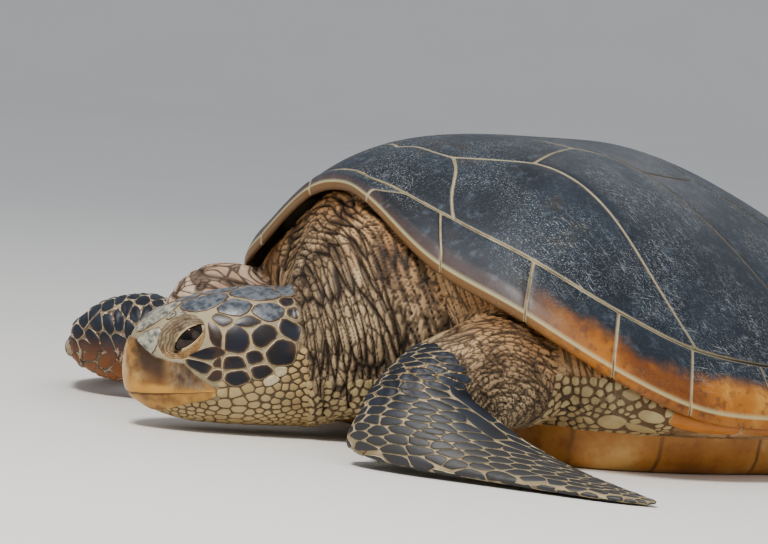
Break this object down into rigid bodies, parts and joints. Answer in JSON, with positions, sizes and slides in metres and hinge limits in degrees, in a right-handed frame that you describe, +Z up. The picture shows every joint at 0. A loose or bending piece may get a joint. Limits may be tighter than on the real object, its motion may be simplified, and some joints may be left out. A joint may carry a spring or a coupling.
{
  "type": "green sea turtle",
  "caption": "Still, life-size adult green sea turtle resting on its belly, head turned a little to its right and flippers spread on the floor.",
  "frame": {"origin": "middle of the flat of the plastron, at floor level, below the middle of the shell's length", "axes": "+Z up, the turtle looks along -Y, its left side is +X"},
  "size_m": [1.12, 1.2822, 0.345],
  "materials": {
    "shell_keratin": "worn satin horn plates, charcoal blue-grey with fine pale scratches",
    "rim_keratin": "worn satin horn plates, dark above and orange-brown towards the rim",
    "skin": "matt wrinkled skin, tan to grey-brown with dark folds and small scales",
    "scaled_skin": "satin dark scales with thin cream borders",
    "belly_keratin": "satin orange-tan horn plates",
    "beak_keratin": "smooth tan horn with darker bands",
    "eye": "wet, nearly black"
  },
  "bodies": {
    "root": {"vertebral_1": "shell_keratin", "vertebral_2": "shell_keratin", "vertebral_3": "shell_keratin", "vertebral_4": "shell_keratin", "vertebral_5": "shell_keratin", "costal_left_1": "shell_keratin", "costal_left_2": "shell_keratin", "costal_left_3": "shell_keratin", "costal_left_4": "shell_keratin", "costal_right_1": "shell_keratin", "costal_right_2": "shell_keratin", "costal_right_3": "shell_keratin", "costal_right_4": "shell_keratin", "nuchal": "rim_keratin", "marginal_left_1": "rim_keratin", "marginal_left_2": "rim_keratin", "marginal_left_3": "rim_keratin", "marginal_left_4": "rim_keratin", "marginal_left_5": "rim_keratin", "marginal_left_6": "rim_keratin", "marginal_left_7": "rim_keratin", "marginal_left_8": "rim_keratin", "marginal_left_9": "rim_keratin", "marginal_left_10": "rim_keratin", "marginal_left_11": "rim_keratin", "marginal_left_12": "rim_keratin", "marginal_right_1": "rim_keratin", "marginal_right_2": "rim_keratin", "marginal_right_3": "rim_keratin", "marginal_right_4": "rim_keratin", "marginal_right_5": "rim_keratin", "marginal_right_6": "rim_keratin", "marginal_right_7": "rim_keratin", "marginal_right_8": "rim_keratin", "marginal_right_9": "rim_keratin", "marginal_right_10": "rim_keratin", "marginal_right_11": "rim_keratin", "marginal_right_12": "rim_keratin", "trunk": "skin", "neck": "skin", "fore_arm_left": "skin", "fore_arm_right": "skin", "tail": "skin", "head": "scaled_skin", "lower_jaw": "scaled_skin", "fore_flipper_left": "scaled_skin", "fore_flipper_right": "scaled_skin", "hind_flipper_left": "scaled_skin", "hind_flipper_right": "scaled_skin", "plastron": "belly_keratin", "beak_upper": "beak_keratin", "beak_lower": "beak_keratin", "eye_left": "eye", "eye_right": "eye"}
  },
  "joints": []
}
